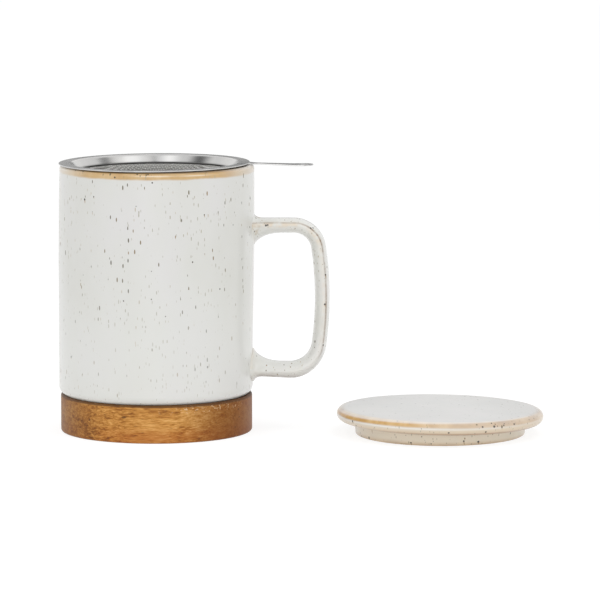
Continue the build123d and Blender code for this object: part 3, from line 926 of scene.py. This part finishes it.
def polished_steel():
    """Bright stamped sheet with fine turning marks and faint smears."""
    steel = Finish("polished_steel")
    where = steel.place(shift=(-infuser_shift * mm, 0, 0))
    x, y, z = steel.split(where)
    radius = steel.math("SQRT", steel.plus(steel.times(x, x), steel.times(y, y)))
    rings = steel.add("CombineXYZ", {"X": radius, "Y": 0.0, "Z": z}).outputs[0]
    marks = steel.noise(rings, 9000.0, 2.0, 0.7)
    smear = steel.noise(where, 70.0)
    colour = steel.colours(smear, (0.3, 186, 186, 186), (0.7, 206, 205, 203))
    # Painted shade: near-black along the inner bend under the funnel.
    colour = steel.over(colour, (40, 39, 38), steel.marked("bend_shade"))
    rough = steel.plus(steel.times(marks, 0.10), steel.times(smear, 0.16))
    rough = steel.plus(rough, 0.03)
    sockets = {"Base Color": colour, "Metallic": 1.0, "Roughness": rough}
    return steel.principled(sockets, marks, bump=0.05, depth=0.02)


def woven_steel():
    """Drawn wire, a little duller than the sheet, with painted shade where it dips under."""
    steel = Finish("woven_steel")
    tint = steel.noise(steel.place(), 400.0)
    colour = steel.colours(tint, (0.3, 242, 241, 238), (0.7, 250, 249, 246))
    # Painted shade where the wire dips under its neighbours.
    colour = steel.over(colour, (186, 185, 182), steel.marked("under"), 0.9)
    rough = steel.plus(steel.times(tint, 0.15), 0.34)
    return steel.principled({"Base Color": colour, "Metallic": 0.8, "Roughness": rough})


# -------------------------------- the object's pieces
finishes = {
    "acacia_wood": acacia_wood(),
    "speckled_glaze": speckled_glaze(),
    "handle_glaze": handle_glaze(),
    "lid_glaze": lid_glaze(),
    "polished_steel": polished_steel(),
    "woven_steel": woven_steel(),
}


def fit(piece, body, node, slot, finish=None):
    """Gives a piece its finish and its body, and puts it in the place of its solid."""
    piece.data.materials.append(finishes[finish or slot])
    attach(piece, body)
    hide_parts(node)


fit(wooden_base(), "base", "wooden_base", "acacia_wood")
fit(mug_body(), "mug", "mug_body", "speckled_glaze")
fit(mug_handle(), "mug", "mug_handle", "speckled_glaze", "handle_glaze")
fit(lid(), "lid", "lid", "lid_glaze")
fit(infuser_rim(), "infuser", "infuser_rim", "polished_steel")
fit(infuser_clamp_ring(), "infuser", "infuser_clamp_ring", "polished_steel")
fit(infuser_tab(), "infuser", "infuser_handle", "polished_steel")
for name, crosswise in (("infuser_mesh_warp", False), ("infuser_mesh_weft", True)):
    fit(woven_wires(name, crosswise), "infuser", "infuser_mesh", "woven_steel")


# -------------------------------- floor, light and camera
white = (1, 1, 1, 1)


def studio_floor():
    """Pale floor that keeps the object's shadow but meets a white background."""
    side, near, far = 3000, -3000, 5000
    corners = np.array([[[-side, near, 0], [-side, far, 0]], [[side, near, 0], [side, far, 0]]])
    floor = surface("studio_floor", corners, closed_columns=False)
    finish = Finish("studio_floor")
    shadowed = finish.add("BsdfDiffuse", {"Color": tone(240, 240, 240)})
    bright = finish.add("Emission", {"Color": white, "Strength": 1.18})
    share = finish.times(finish.seen_directly(), 0.7)
    floor.data.materials.append(finish.blend(share, shadowed, bright))


def studio_light():
    """Even white surroundings, two softboxes overhead, low fills in front, and grey and
    bright cards that show in the steel in place of the softboxes."""
    world = Finish("studio", "worlds")
    lit = world.add("Background", {"Color": white, "Strength": 0.7})
    shown = world.add("Background", {"Color": white, "Strength": 1.0})
    bpy.context.scene.world = world.blend(world.seen_directly(), lit, shown, "OutputWorld")
    middle = (0.03, 0, 0.06)
    lamp("softbox_left", middle, (-0.38, -0.24, 1.05), 0.4, 1.5, mirrored=False)
    lamp("softbox_right", middle, (0.44, -0.26, 1.02), 0.4, 1.45, mirrored=False)
    lamp("fill_front", middle, (-0.12, -1.5, 0.12), 0.9, 3.6)
    lamp("fill_left", middle, (-1.1, -0.8, 0.4), 0.8, 1.2)
    lamp("fill_right", middle, (1.2, -0.8, 0.4), 0.8, 1.6)
    rim, grey, bright = np.array([0, 0, 0.118]), 0.16, 1.72
    card("grey_card_left", rim, (-0.6, 0.11, 0.78), 0.86, 0.42, grey)
    card("grey_card_right", rim, (0.64, 0.18, 0.74), 0.56, 0.42, grey)
    card("grey_card_over", rim, (0, -0.3, 0.95), 0.16, 0.14, grey)
    card("grey_card_back", rim, (0.05, 0.99, 0.12), 1.1, 0.3, grey)
    card("bright_card_left", rim, (-0.24, -0.25, 0.94), 0.54, 0.44, bright)
    card("bright_card_right", rim, (0.34, -0.2, 0.92), 0.7, 0.54, bright)


def lamp(name, target, place, size, power, mirrored=True):
    """Square area lamp that faces a target and shows in glossy surfaces unless told not to."""
    data = bpy.data.lights.new(name, "AREA")
    data.shape, data.size, data.energy = "SQUARE", size, power
    made = bpy.data.objects.new(name, data)
    bpy.context.scene.collection.objects.link(made)
    x, y, z = np.array(place) - np.array(target)
    made.location = place
    made.visible_glossy = mirrored
    made.rotation_euler = (math.atan2(math.hypot(x, y), z), 0, math.atan2(x, -y))


def card(name, target, direction, width, height, strength):
    """Soft-edged card at some distance from the target that only glossy rays meet: a grid
    centre + u across + v up, whose `fade` goes as a cosine from 1 to 0 at its edges."""
    distance, softness = 1.2, 0.6
    out = np.array(direction) / np.linalg.norm(direction)
    across = np.cross([0, 0, 1], out)
    across = across / np.linalg.norm(across)
    up = np.cross(out, across)
    u, v = np.meshgrid(np.linspace(-1, 1, 21), np.linspace(-1, 1, 21))
    centre = target + distance * out
    grid = centre + width / 2 * u[..., None] * across + height / 2 * v[..., None] * up
    fade = (0.5 + 0.5 * np.cos(math.pi * u)) * (0.5 + 0.5 * np.cos(math.pi * v))
    made = surface(name, grid / mm, closed_columns=False, values={"fade": fade**softness})
    finish = Finish(name)
    clear = finish.add("BsdfTransparent", {"Color": white})
    shown = finish.add("Emission", {"Color": white, "Strength": strength})
    made.data.materials.append(finish.blend(finish.marked("fade"), clear, shown))
    made.visible_camera = made.visible_diffuse = made.visible_shadow = False
    made.visible_transmission = False


def front_camera():
    """Long lens, a little above the object and looking slightly down."""
    look_down = math.radians(7.185)
    data = bpy.data.cameras.new("front_camera")
    data.sensor_width, data.lens = 36.0, 278.52
    data.clip_start, data.clip_end = 0.1, 20.0
    made = bpy.data.objects.new("front_camera", data)
    made.location = (0.06349, -2.0343, 0.3142)
    made.rotation_euler = (math.pi / 2 - look_down, 0, 0)
    bpy.context.scene.collection.objects.link(made)
    bpy.context.scene.camera = made


studio_floor()
studio_light()
front_camera()
bpy.context.scene.view_settings.view_transform = "Standard"
